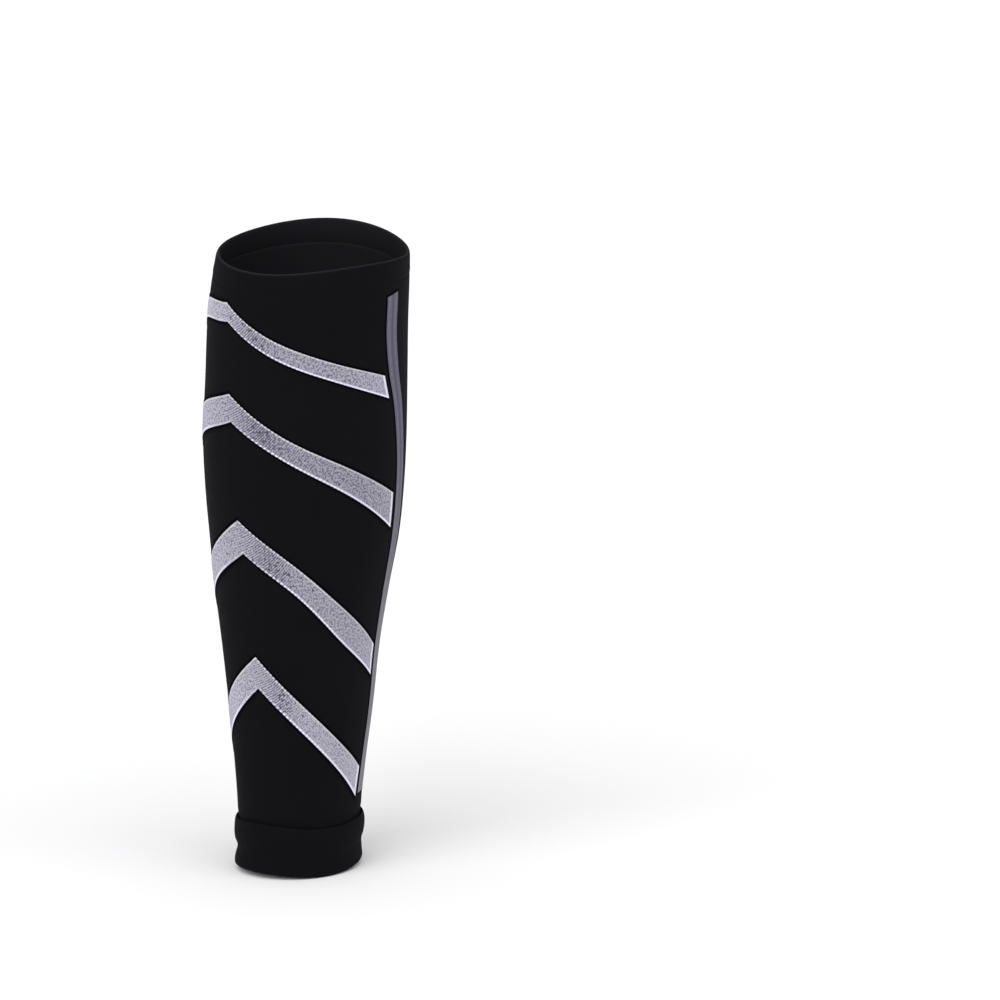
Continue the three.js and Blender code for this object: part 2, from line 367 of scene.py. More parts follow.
class SleeveColours(bpy.types.PropertyGroup):
    """The sleeve's yarns and the stage."""

    body: yarn("#0E0E10", "Body yarn", "Near black nylon of the tube and the cuffs")
    # painted light: a paler copy of the body yarn for the faces inside the tube, making up for the shade that
    # falls there
    reverse: yarn("#1E1E20", "Reverse", "The body yarn's paler purl loops inside the sleeve")
    # painted highlight: a paler copy of the body yarn for faces that turn up, such as the rim's fold, where
    # the top light falls
    crest_highlight: yarn("#262629", "Crest", "The body yarn where the rim's fold stretches it")
    haze: yarn("#D8D0FF", "Haze", "Lilac of the loose fibres where the knit is seen edge on")
    band: yarn("#CECCDA", "Band yarn", "Light lavender grey of the chevrons")
    band_shade: yarn("#5E5C6A", "Band shade", "Darker yarn between the light stitches")
    band_fleck: yarn("#3A3848", "Band fleck", "Dark stitches that show through here and there")
    band_lower: yarn("#E8E6F4", "Lower edge", "Bright stitches along the bands' lower edges and ends")
    band_upper: yarn("#D6D5D0", "Upper edge", "Cream stitches along the bands' upper edges")
    outline: yarn("#04020E", "Outline", "Dark stitches round the bands")
    stripe: yarn("#666471", "Stripe yarn", "Mid grey of the side stripe")
    stripe_line: yarn("#75737F", "Stripe lines", "Lighter lines along the stripe")
    stripe_shade: yarn("#53515D", "Stripe shade", "Darker middle of the stripe")
    # painted sheen: paler stripe yarn for low down, where the stripe is seen more edge on
    stripe_painted_sheen: yarn("#8E8D93", "Stripe near the ankle", "Its yarn where it is stretched least")
    floor: yarn("#FCFCFD", "Floor", "Pale studio floor")


class Leg:
    """The form that every piece is laid on, from the sleeve's sizes."""

    def __init__(self, sizes):
        self.s = sizes
        self.tube_top = sizes.length - sizes.top_cuff_height
        self.tube_foot = sizes.ankle_cuff_height - sizes.ankle_cuff_lap
        self.field = self.tube_top - sizes.ankle_cuff_height
        self.origin = Vector((0, sizes.rim_setback * CALF["setback"], sizes.length * CALF["height"]))

    def section(self, height):
        """Half depth, half breadth and setback at a height above the hem."""
        share = height / self.s.length
        swell = along(LEG, "height", "swell", share)
        depth = mix(self.s.ankle_depth, self.s.calf_depth, swell) / 2
        breadth = mix(self.s.ankle_breadth, self.s.calf_breadth, swell) / 2
        return depth, breadth, self.s.rim_setback * along(LEG, "height", "setback", share)

    def at(self, turn, height, offset=0.0):
        """The point at an angle from the shin, a height above the hem and an offset out of the tube."""
        depth, breadth, setback = self.section(height)
        share = height / self.s.length
        rim_lift = lift(RIM_WAVES, self.s.top_cuff_height, turn) * share**WAVE_FADE
        hem_lift = lift(HEM_WAVES, self.s.ankle_cuff_height, turn) * (1 - share) ** WAVE_FADE
        point = Vector(
            (
                (breadth + offset) * math.sin(turn),
                setback - (depth + offset) * math.cos(turn),
                height + rim_lift + hem_lift,
            )
        )
        return point - self.origin

    def reach(self, turn, height):
        """Metres along the tube's face for each radian round it."""
        depth, breadth, _ = self.section(height)
        return math.hypot(breadth * math.cos(turn), depth * math.sin(turn))

    def lip(self, turn):
        """Height of the ankle cuff's lip."""
        height = self.s.ankle_cuff_height
        return height + lift(LIP_WAVES, height, turn)

    def stripe_front(self, height, ahead=0.0):
        """Angle of the stripe's front edge at a height, or of a line a distance ahead of it."""
        share = (height - self.s.ankle_cuff_height) / self.field
        turn = math.radians(along(STRIPE_EDGE, "height", "turn", share))
        return turn - ahead / self.reach(turn, height)


class Chevron:
    """A chevron band on the leg. u runs from its inner end (-1) over its point (0) to its outer end (1) and v
    from its lower edge (-1) to its upper edge (1)."""

    # between these places along the band the inner arm's shade passes into the outer arm's
    SHADES_MEET = (-0.3, 0.5)
    # how far to either side of a place its steepness is measured
    STEP = 0.02

    def __init__(self, leg, number):
        row, falls, breadths = CHEVRONS[number], CHEVRON_FALLS[number], CHEVRON_BREADTHS[number]
        self.leg = leg
        self.turn = math.radians(row["turn"])
        self.slip = math.radians(row["slip"])
        self.point = leg.s.ankle_cuff_height + leg.field * row["apex"]
        self.fall = leg.field * row["fall"]
        self.to_stripe = leg.s.band_breadth * row["to_stripe"] - leg.s.end_outline
        self.shades = row["inner_shade"], row["outer_shade"]
        self.outer, self.inner = (
            table(
                "at drop breadth",
                (0, 0, breadths["point"]),
                (1 / 3, falls[third], breadths[third]),
                (2 / 3, falls["two_thirds"], breadths["two_thirds"]),
                (1, 1, breadths["end"]),
            )
            for third in ("third", "inner_third")
        )

    def drop(self, u):
        """How far the middle of the band has come down from its point."""
        return self.fall * along(self.outer if u > 0 else self.inner, "at", "drop", abs(u))

    def half(self, u):
        """Half the upright breadth."""
        arm = self.outer if u > 0 else self.inner
        return self.leg.s.band_breadth / 2 * along(arm, "at", "breadth", abs(u))

    def tip(self, v):
        """Angle of the point, further round at the lower edge than at the upper one."""
        return self.turn + self.slip * (1 - v) / 2

    def sweep(self, v):
        """Angle from the point to the outline beyond either end."""
        end = self.point - self.fall + self.half(1) * v
        return self.leg.stripe_front(end, self.to_stripe) - self.tip(v)

    def place(self, u, v):
        """Angle and height."""
        return self.tip(v) + u * self.sweep(v), self.point - self.drop(u) + self.half(u) * v

    def steep(self, u):
        """How steeply the band comes down from its point, as an angle."""
        near, far = clamp(abs(u) - self.STEP), clamp(abs(u) + self.STEP)
        side = math.copysign(1, u)
        level = (far - near) * self.sweep(0) * self.leg.reach(*self.place(u, 0))
        return math.atan2(self.drop(side * far) - self.drop(side * near), level)

    def shade(self, u):
        """How much darker the band is there than others are."""
        inner, outer = self.SHADES_MEET
        return mix(*self.shades, hermite(clamp((u - inner) / (outer - inner))))


def sizes():
    return bpy.context.scene.sleeve_sizes


def colours():
    return bpy.context.scene.sleeve_colours


# Modelling helpers


def start(name, add, **settings):
    """Deselects everything, adds a primitive and names it."""
    bpy.ops.object.select_all(action="DESELECT")
    add(**settings)
    piece = bpy.context.active_object
    piece.name = name
    piece.data.name = name
    return piece


def grid(name, columns, rows):
    """A flat grid to be laid on the leg, 1 by 1 about the origin."""
    return start(name, bpy.ops.mesh.primitive_grid_add, x_subdivisions=columns, y_subdivisions=rows, size=1)


def edit(piece, *steps):
    """Runs edit mode operators on all of a piece. Each step is an operator and its settings."""
    bpy.context.view_layer.objects.active = piece
    bpy.ops.object.mode_set(mode="EDIT")
    bpy.ops.mesh.select_all(action="SELECT")
    for operator, settings in steps:
        operator(**settings)
    bpy.ops.object.mode_set(mode="OBJECT")


def modify(piece, kind, **settings):
    """Adds a modifier and applies it."""
    bpy.context.view_layer.objects.active = piece
    modifier = piece.modifiers.new(kind.title(), kind)
    for name, value in settings.items():
        setattr(modifier, name, value)
    bpy.ops.object.modifier_apply(modifier=modifier.name)


def note(piece, name, kind, field, values):
    """Gives each vertex of a piece a value under a name that materials can read."""
    attribute = piece.data.attributes.new(name, kind, "POINT")
    for item, value in zip(attribute.data, values):
        setattr(item, field, value)


def knit_uv(piece, leg):
    """Lays a UV map in metres: wales round the leg as wide as at the calf, courses up it."""
    around = leg.s.calf_breadth / 2
    layer = piece.data.uv_layers.active or piece.data.uv_layers.new(name="UVMap")
    places = []
    for vertex in piece.data.vertices:
        point = vertex.co + leg.origin
        setback = leg.section(clamp(point.z, 0, leg.s.length))[2]
        places.append((math.atan2(point.x, setback - point.y), point.z))
    for face in piece.data.polygons:
        near = places[face.vertices[0]][0]
        for loop, vertex in zip(face.loop_indices, face.vertices):
            turn, height = places[vertex]
            turn += math.tau * round((near - turn) / math.tau)
            layer.data[loop].uv = (turn * around, height)


def finish_piece(piece, slot, material, *nodes):
    """Gives a piece its material, hides the nodes that it stands for and lets it ride on the part."""
    piece.data.materials.clear()
    piece.data.materials.append(material)
    bpy.context.view_layer.objects.active = piece
    bpy.ops.object.select_all(action="DESELECT")
    piece.select_set(True)
    bpy.ops.object.shade_smooth()
    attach(piece, "root")
    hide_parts(*nodes)
    return piece


# Materials


def add_node(tree, kind, sockets=(), **settings):
    """Adds a node with its settings. A live socket, by its place or its name, takes a value, or a link where
    it is given another node's socket or a node, which stands for its first live output."""
    node = tree.nodes.new("ShaderNode" + kind)
    for name, value in settings.items():
        setattr(node, name, value)
    live = [socket for socket in node.inputs if socket.enabled]
    for key, value in sockets.items() if isinstance(sockets, dict) else enumerate(sockets):
        socket = live[key] if isinstance(key, int) else next(s for s in live if s.name == key)
        if isinstance(value, bpy.types.Node):
            value = next(output for output in value.outputs if output.enabled)
        if isinstance(value, bpy.types.NodeSocket):
            tree.links.new(value, socket)
        else:
            socket.default_value = value
    return node


def new_material(name, roughness, specular):
    """A material with nothing but its shader and output."""
    material = bpy.data.materials.new(name)
    material.use_nodes = True
    tree = material.node_tree
    tree.nodes.clear()
    shader = add_node(tree, "BsdfPrincipled", {"Roughness": roughness, "Specular IOR Level": specular})
    add_node(tree, "OutputMaterial", {"Surface": shader})
    return material, tree, shader


def finish_shader(tree, shader, colour, height, depth):
    """Links a colour and a relief, its full height given in metres, to a shader."""
    bump = add_node(tree, "Bump", {"Height": height, "Distance": depth, "Strength": 0.5})
    tree.links.new(colour.outputs["Result"], shader.inputs["Base Color"])
    tree.links.new(bump.outputs["Normal"], shader.inputs["Normal"])


def jersey_stitches(tree, wale, course):
    """Height (0 to 1) of plain jersey: upright wales of small V stitches, on the UV map in metres."""
    uv = add_node(tree, "SeparateXYZ", (add_node(tree, "TexCoord").outputs["UV"],))
    wales = add_node(tree, "Math", (uv.outputs["X"], wale), operation="DIVIDE")
    courses = add_node(tree, "Math", (uv.outputs["Y"], course), operation="DIVIDE")
    # both legs of the V climb from the middle of the wale
    across = add_node(tree, "Math", (wales, 0.5), operation="PINGPONG")
    climb = add_node(tree, "Math", (across, 1.6, courses), operation="MULTIPLY_ADD")
    turns = add_node(tree, "Math", (climb, math.tau), operation="MULTIPLY")
    loops = add_node(tree, "Math", (turns,), operation="SINE")
    loops = add_node(tree, "MapRange", (loops, -1.0, 1.0, 1.6, 4.0))
    legs = add_node(tree, "Math", (wales, 0.25), operation="PINGPONG")
    return add_node(tree, "Math", (legs, loops), operation="MULTIPLY")


def black_jersey(name, palette, wale, course, crest_highlight=0.0):
    """Nylon and elastane jersey, circular knitted and dyed black: matte, with a faint lilac haze of loose
    fibres where it is seen edge on. crest is how far faces that turn up, such as the rim's fold, take on the
    paler crest colour, a painted highlight standing in for the top light."""
    material, tree, shader = new_material(name, 0.9, 0.05)
    stitches = jersey_stitches(tree, wale, course)
    # yarn lots and stretch make the black a little uneven over centimetres
    place = add_node(tree, "TexCoord").outputs["Object"]
    cloudy = add_node(tree, "TexNoise", {"Vector": place, "Scale": 22.0, "Detail": 3.0})
    uneven = add_node(tree, "MapRange", (cloudy, 0.3, 0.7, 0.0, 0.25), interpolation_type="SMOOTHSTEP")
    deep, pale = scaled(palette.body, 0.8), scaled(palette.body, 1.3)
    lit = add_node(tree, "Mix", (stitches, deep, pale), data_type="RGBA")
    face = add_node(tree, "Mix", (uneven, lit, pale), data_type="RGBA")
    # painted light: the cloth that faces the leg's axis, inside the tube, takes a paler copy of the body
    # yarn, which makes up for the shade that falls in there
    level = add_node(tree, "VectorMath", (place, (1.0, 1.0, 0.0)), operation="MULTIPLY")
    normal = add_node(tree, "NewGeometry").outputs["Normal"]
    outward = add_node(tree, "VectorMath", (normal, level), operation="DOT_PRODUCT")
    inside = add_node(tree, "MapRange", (outward, 0.0, -0.02, 0.0, 1.0))
    cloth = add_node(tree, "Mix", (inside, face, palette.reverse), data_type="RGBA")
    # painted highlight: faces that turn up are mixed towards the paler crest colour, in place of the top
    # light on the rim's fold
    upward = add_node(tree, "SeparateXYZ", (normal,)).outputs["Z"]
    painted_highlight = add_node(tree, "MapRange", (upward, 0.35, 0.85, 0.0, crest_highlight), interpolation_type="SMOOTHSTEP")
    colour = add_node(tree, "Mix", (painted_highlight, cloth, palette.crest_highlight), data_type="RGBA")
    shader.inputs["Sheen Weight"].default_value = 0.016
    shader.inputs["Sheen Roughness"].default_value = 0.4
    shader.inputs["Sheen Tint"].default_value = palette.haze
    finish_shader(tree, shader, colour, stitches, 0.2 * MM)
    return material


def band_knit(name, palette, tooth, outline_breadth):
    """Jacquard knit of light lavender grey yarn with darker floats between, and bright selvedge stitches."""
    material, tree, shader = new_material(name, 0.85, 0.02)
    uv = add_node(tree, "TexCoord").outputs["UV"]
    edges, tone, marks, weave = (
        add_node(tree, "Attribute", attribute_name=attribute).outputs["Vector"]
        for attribute in ("edges", "tone", "marks", "weave")
    )
    low, high, end = add_node(tree, "SeparateXYZ", (edges,)).outputs
    shade, grain, strokes = add_node(tree, "SeparateXYZ", (tone,)).outputs
    flecks, lower, upper = add_node(tree, "SeparateXYZ", (marks,)).outputs

    # strokes of dark yarn across the band, real pitch 0.8 mm, drawn at 1.25 mm to show
    hatch = add_node(
        tree,
        "TexWave",
        {"Vector": weave, "Scale": WAVE / (1.25 * MM), "Distortion": 2.5, "Detail": 1.0, "Detail Scale": 1.2},
        bands_direction="X",
    )
    noise = add_node(tree, "TexNoise", {"Vector": uv, "Scale": 780.0, "Detail": 1.0, "Roughness": 0.7})
    speckle = add_node(tree, "MapRange", (noise, 0.38, 0.67, 0.1, 1.1), interpolation_type="SMOOTHSTEP")
    ruled = add_node(tree, "Math", (strokes, 0.6), operation="MULTIPLY")
    pattern = add_node(tree, "Mix", (ruled, speckle, hatch.outputs["Fac"]), data_type="FLOAT")
    about = add_node(tree, "Math", (pattern, 0.5), operation="SUBTRACT")
    darker = add_node(tree, "Math", (about, grain, shade), operation="MULTIPLY_ADD", use_clamp=True)
    cloth = add_node(tree, "Mix", (darker, palette.band, palette.band_shade), data_type="RGBA")

    # dark stitches that show through, more of them where there are to be more flecks
    blots = add_node(tree, "TexNoise", {"Vector": uv, "Scale": 420.0, "Detail": 2.0, "Roughness": 0.6})
    bar = add_node(tree, "MapRange", (flecks, 0.0, 1.0, 0.7, 0.56))
    above = add_node(tree, "Math", (blots, bar), operation="SUBTRACT")
    dark = add_node(tree, "MapRange", (above, 0.0, 0.05, 0.0, 0.8), interpolation_type="SMOOTHSTEP")
    cloth = add_node(tree, "Mix", (dark, cloth, palette.band_fleck), data_type="RGBA")

    # selvedge stitches: single ones where the strokes are, a solid line elsewhere
    beads = add_node(
        tree,
        "TexWave",
        {"Vector": weave, "Scale": WAVE / tooth, "Distortion": 1.5, "Detail": 1.0, "Detail Scale": 0.6},
        bands_direction="X",
    )
    gaps = add_node(tree, "MapRange", (beads.outputs["Fac"], 0.2, 0.8, 0.9, 0.0))
    hole = add_node(tree, "Math", (gaps, strokes), operation="MULTIPLY")
    solid = add_node(tree, "Math", (1.0, hole), operation="SUBTRACT")
    for distance, bright, colour, reach in (
        (high, upper, palette.band_upper, 1.1 * MM),
        (low, lower, palette.band_lower, 1.4 * MM),
        (end, 0.8, palette.band_lower, 2.4 * MM),
    ):
        near = add_node(
            tree, "MapRange", (distance, reach, reach - 0.7 * MM), interpolation_type="SMOOTHSTEP"
        )
        line = add_node(tree, "Math", (near, bright), operation="MULTIPLY")
        line = add_node(tree, "Math", (line, solid), operation="MULTIPLY")
        cloth = add_node(tree, "Mix", (line, cloth, colour), data_type="RGBA")

    # dark stitches round the band, which fade into the body's black over their last 0.7 mm. That black is
    # painted 1.7 times paler, a painted reflection and sheen standing in for the jersey's gloss that this
    # shader lacks.
    rim = add_node(tree, "Math", (low, high), operation="MINIMUM")
    rim = add_node(tree, "Math", (rim, end), operation="MINIMUM")
    fade_span = (0.7 * MM - outline_breadth, -outline_breadth)
    fade = add_node(tree, "MapRange", (rim, *fade_span), interpolation_type="SMOOTHSTEP")
    around = add_node(tree, "Mix", (fade, palette.outline, scaled(palette.body, 1.7)), data_type="RGBA")
    outline = add_node(tree, "MapRange", (rim, 0.1 * MM, -0.15 * MM), interpolation_type="SMOOTHSTEP")
    cloth = add_node(tree, "Mix", (outline, cloth, around), data_type="RGBA")
    finish_shader(tree, shader, cloth, pattern, 0.2 * MM)
    return material


def stripe_knit(name, palette):
    """Mid grey rib knit: two lighter wales with a darker one between them, and dark edges."""
    material, tree, shader = new_material(name, 0.85, 0.02)
    edges = add_node(tree, "Attribute", attribute_name="edges").outputs["Vector"]
    front, back, end = add_node(tree, "SeparateXYZ", (edges,)).outputs
    uv = add_node(tree, "TexCoord").outputs["UV"]
    height = add_node(tree, "SeparateXYZ", (uv,)).outputs["Y"]
    breadth = add_node(tree, "Math", (front, back), operation="ADD")
    across = add_node(tree, "Math", (front, breadth), operation="DIVIDE")
    # the two lighter wales lie a quarter of the breadth in from the edges
    fold = add_node(tree, "Math", (across, 0.5), operation="PINGPONG")
    off_wale = add_node(tree, "Math", (fold, 0.22), operation="SUBTRACT")
    off_wale = add_node(tree, "Math", (off_wale,), operation="ABSOLUTE")
    wale = add_node(tree, "MapRange", (off_wale, 0.13, 0.05), interpolation_type="SMOOTHSTEP")
    # yarn that is a little uneven breaks the lines up
    uneven = add_node(tree, "TexNoise", {"Vector": uv, "Scale": 420.0, "Detail": 2.0})
    uneven = add_node(tree, "MapRange", (uneven, 0.35, 0.6, 0.2, 1.0))
    wale = add_node(tree, "Math", (wale, uneven), operation="MULTIPLY")
    lighter = add_node(tree, "Mix", (wale, palette.stripe, palette.stripe_line), data_type="RGBA")
    middle = add_node(tree, "MapRange", (fold, 0.36, 0.5, 0.0, 0.8), interpolation_type="SMOOTHSTEP")
    cloth = add_node(tree, "Mix", (middle, lighter, palette.stripe_shade), data_type="RGBA")
    # painted sheen: it grows paler from 270 mm above the hem down to 100 mm, where it is seen more edge on
    pale = add_node(tree, "MapRange", (height, 0.27, 0.1, 0.0, 0.8), interpolation_type="SMOOTHSTEP")
    cloth = add_node(tree, "Mix", (pale, cloth, palette.stripe_painted_sheen), data_type="RGBA")
    # short stitches across the stripe, real pitch 0.7 mm, drawn at 1.1 mm to show
    courses = add_node(tree, "TexWave", {"Vector": uv, "Scale": WAVE / (1.1 * MM)}, bands_direction="Y")
    speckle = add_node(tree, "TexNoise", {"Vector": uv, "Scale": 800.0, "Detail": 2.0})
    mottled = add_node(tree, "Math", (courses.outputs["Fac"], speckle), operation="MULTIPLY")
    shaded = add_node(tree, "MapRange", (mottled, 0.1, 0.5, 0.0, 0.35))
    cloth = add_node(tree, "Mix", (shaded, cloth, palette.stripe_shade), data_type="RGBA")
    rim = add_node(tree, "Math", (front, back), operation="MINIMUM")
    rim = add_node(tree, "Math", (rim, end), operation="MINIMUM")
    outline = add_node(tree, "MapRange", (rim, 0.1 * MM, -0.15 * MM), interpolation_type="SMOOTHSTEP")
    cloth = add_node(tree, "Mix", (outline, cloth, palette.outline), data_type="RGBA")
    finish_shader(tree, shader, cloth, courses.outputs["Fac"], 0.15 * MM)
    return material


def studio_paper(name, colour):
    """Matte white backdrop paper."""
    material, tree, shader = new_material(name, 0.9, 0.1)
    grain = add_node(tree, "TexNoise", {"Vector": add_node(tree, "TexCoord").outputs["Object"], "Scale": 3.0})
    paper = add_node(tree, "Mix", (grain, colour, scaled(colour, 0.985)), data_type="RGBA")
    tree.links.new(paper.outputs["Result"], shader.inputs["Base Color"])
    return material


# Laying cloth on the leg


def lay(piece, place):
    """Moves each vertex of a flat grid to place(u, v), with u and v from 0 to 1."""
    for vertex in piece.data.vertices:
        vertex.co = place(vertex.co.x + 0.5, vertex.co.y + 0.5)


def ring(name, leg, outline, columns):
    """A closed fold round the leg, spun and then laid on it. outline(turn) lists its offsets and heights at
    an angle, in the same order all round."""
    rows = outline(0.0)
    form = leg.s.calf_breadth / 2
    piece = start(name, bpy.ops.mesh.primitive_circle_add, vertices=len(rows), radius=1)
    for vertex, (offset, height) in zip(piece.data.vertices, rows):
        vertex.co = (form + offset, 0, height)
    note(piece, "row", "INT", "value", range(len(rows)))
    edit(
        piece,
        (bpy.ops.mesh.spin, {"steps": columns, "angle": math.tau, "center": (0, 0, 0), "axis": (0, 0, 1)}),
        (bpy.ops.mesh.select_all, {"action": "SELECT"}),
        (bpy.ops.mesh.remove_doubles, {"threshold": SAME_PLACE}),
    )
    for vertex, row in zip(piece.data.vertices, piece.data.attributes["row"].data):
        turn = math.atan2(vertex.co.x, -vertex.co.y)
        offset, height = outline(turn)[row.value]
        vertex.co = leg.at(turn, height, offset)
    edit(piece, (bpy.ops.mesh.normals_make_consistent, {"inside": False}))
    modify(piece, "SUBSURF", levels=2, render_levels=2)
    return piece


class SLEEVE_OT_leg_tube(bpy.types.Operator):
    """Roll a flat jersey round the leg form and give it its wall"""

    bl_idname = "sleeve.leg_tube"
    bl_label = "Leg tube"

    def execute(self, context):
        s, leg = sizes(), Leg(sizes())
        tube = grid("sleeve_tube", s.columns, s.rows)
        top = leg.tube_top - s.seam_gap

        def face(u, v):
            turn, height = math.tau * u, mix(leg.tube_foot, top, v)
            return leg.at(turn, height, -s.grip * hump(height - leg.lip(turn), s.grip_reach))

        lay(tube, face)
        edit(
            tube,
            (bpy.ops.mesh.remove_doubles, {"threshold": SAME_PLACE}),
            (bpy.ops.mesh.normals_make_consistent, {"inside": False}),
        )
        modify(tube, "SOLIDIFY", thickness=s.wall, offset=-1.0, use_even_offset=True)
        knit_uv(tube, leg)
        jersey = black_jersey("nylon_elastane_jersey", colours(), wale=1.5 * MM, course=1.2 * MM)
        finish_piece(tube, "leg_tube", jersey, "leg_tube")
        # off the leg the knit shrinks round it and keeps its length, so it lies as a tapered strip; here only
        # the girths on the leg at each row are worked out, and nothing uses them
        girths = [self.girth(leg, mix(leg.tube_foot, top, i / s.rows)) for i in range(s.rows + 1)]
        return {"FINISHED"}

    def girth(self, leg, height):
        """Length once round the tube's face at a height."""
        steps = 90
        return sum(leg.reach(math.tau * i / steps, height) for i in range(steps)) * math.tau / steps


class SLEEVE_OT_cuffs(bpy.types.Operator):
    """Fold the top cuff and the ankle cuff round the leg form"""

    bl_idname = "sleeve.cuffs"
    bl_label = "Cuffs"

    # faces round each fold before it is smoothed
    COLUMNS = 64
    # the double knit's stitches
    WALE = 1.3 * MM
    COURSE = 1.0 * MM

    def execute(self, context):
        s, leg = sizes(), Leg(sizes())
        double_knit = black_jersey("double_folded_rib", colours(), self.WALE, self.COURSE)
        inner = s.top_cuff_proud - s.top_cuff_thickness
        rim = [
            (inner + s.top_cuff_thickness * row["out"], leg.tube_top + s.top_cuff_height * row["up"])
            for row in TOP_CUFF
        ]
        top = ring("top_cuff_fold", leg, lambda turn: rim, self.COLUMNS)
        knit_uv(top, leg)
        # the rim's knit gets the painted highlight where its fold turns up
        rim_knit = black_jersey("double_folded_rim", colours(), self.WALE, self.COURSE, crest_highlight=0.9)
        finish_piece(top, "top_cuff", rim_knit, "top_cuff")

        ankle = ring("ankle_cuff_fold", leg, lambda turn: self.ankle_outline(leg, turn), self.COLUMNS)
        knit_uv(ankle, leg)
        finish_piece(ankle, "ankle_cuff", double_knit, "ankle_cuff")
        return {"FINISHED"}

    def ankle_outline(self, leg, turn):
        """Offsets and heights round the ankle cuff's fold at an angle."""
        s, lip, lap = leg.s, leg.lip(turn), leg.tube_foot - leg.s.seam_gap
        side = math.cos(turn - s.bulging_side)
        outline = []
        for row in ANKLE_CUFF:
            out = row["out"] + row["sway"] * side
            outline.append((out * (s.ankle_cuff_proud if out > 0 else s.ankle_cuff_inside), lip * row["up"]))
        # down the lip's inner face, which clears the tube, and back in under the tube's end
        outline += [(s.seam_gap, mix(lap, lip, share)) for share in (0.9, 0.5, 0.1)]
        outline += [(0.9 * s.seam_gap, lap), (-0.5 * s.ankle_cuff_inside, lap), (-s.ankle_cuff_inside, lap)]
        return outline


class SLEEVE_OT_chevrons(bpy.types.Operator):
    """Lay the four chevron bands round the shin"""

    bl_idname = "sleeve.chevrons"
    bl_label = "Chevron bands"

    COLUMNS = 400
    ROWS = 18
    THICKNESS = 0.18 * MM
    # how far out of the tube its face lies at least, and what its rounded crown adds
    EDGE_LIFT = 0.22 * MM
    CROWN_LIFT = 0.16 * MM
    # how far in from the edge the crown starts, less than none in the outline, and how far in it is full
    CROWN_FOOT = -0.48 * MM
    CROWN_TOP = 0.72 * MM
    # the ridge of edge stitches: its height, its distance in from the edge and its reach to either side
    BEAD_LIFT = 0.08 * MM
    BEAD_INSET = 0.7 * MM
    BEAD_REACH = 0.5 * MM
    # depth of the gaps between the stitches along the edges
    NOTCH = 0.2 * MM

    def execute(self, context):
        s, leg = sizes(), Leg(sizes())
        knit = band_knit("lavender_grey_jacquard", colours(), s.tooth, s.outline)
        for number in range(len(CHEVRONS)):
            band = self.band(leg, number)
            finish_piece(band, "chevron_band", knit, f"chevron_{number + 1}")
        return {"FINISHED"}

    def band(self, leg, number):
        """One band with its outline. Its vertices carry what its knit's colours depend on."""
        chevron = Chevron(leg, number)
        band = grid(f"chevron_band_{number + 1}", self.COLUMNS, self.ROWS)
        edges, tones, marks, weave = [], [], [], []
        strokes = self.strokes(chevron)
        for vertex in band.data.vertices:
            u = 2 * vertex.co.x
            steep = chevron.steep(u)
            half = chevron.half(u) + leg.s.outline / math.cos(steep)
            # rows gather towards the two edges, where the shape turns
            v = math.sin(vertex.co.y * math.pi) * half / chevron.half(u)
            turn, height = chevron.place(u, v)
            up = chevron.half(u) * v
            # how far inside the band's edges it lies, less than none in the outline
            low, high = ((half + way * up) * math.cos(steep) - leg.s.outline for way in (1, -1))
            end = (1 - abs(u)) * chevron.sweep(v) * leg.reach(turn, height) - leg.s.end_outline
            tone = {name: along(BAND_TONES, "at", name, u) for name in BAND_TONES[0]}
            past = strokes[round((vertex.co.x + 0.5) * self.COLUMNS)]
            past -= up * math.sin(math.radians(tone["lean"]))
            notch = self.NOTCH * tone["strokes"] * abs(2 * (past / leg.s.tooth % 1) - 1)
            edges.append((low - notch, high - notch, end))
            tones.append((tone["shade"] + chevron.shade(u), tone["grain"], tone["strokes"]))
            marks.append((tone["flecks"], tone["lower"], tone["upper"]))
            weave.append((past, low, 0))
            below, beyond = (hump(edge - self.BEAD_INSET, self.BEAD_REACH) for edge in (low, end))
            offset = self.EDGE_LIFT + self.BEAD_LIFT * max(tone["lower"] * below, beyond)
            offset += self.CROWN_LIFT * crown(min(low, high, end), self.CROWN_FOOT, self.CROWN_TOP)
            vertex.co = leg.at(turn, height, offset)
        for name, values in (("edges", edges), ("tone", tones), ("marks", marks), ("weave", weave)):
            note(band, name, "FLOAT_VECTOR", "vector", values)
        modify(band, "SOLIDIFY", thickness=self.THICKNESS, offset=-1.0)
        knit_uv(band, leg)
        return band

    def strokes(self, chevron):
        """Metres square to the leaning strokes from the band's inner end to each column, along its middle."""
        shares = [2 * column / self.COLUMNS - 1 for column in range(self.COLUMNS + 1)]
        past = [0.0]
        for before, u in zip(shares, shares[1:]):
            level = (u - before) * chevron.sweep(0) * chevron.leg.reach(*chevron.place(u, 0))
            lean = math.radians(along(BAND_TONES, "at", "lean", u))
            fall = chevron.drop(u) - chevron.drop(before)
            past.append(past[-1] + level * math.cos(lean) + fall * math.sin(lean))
        return past


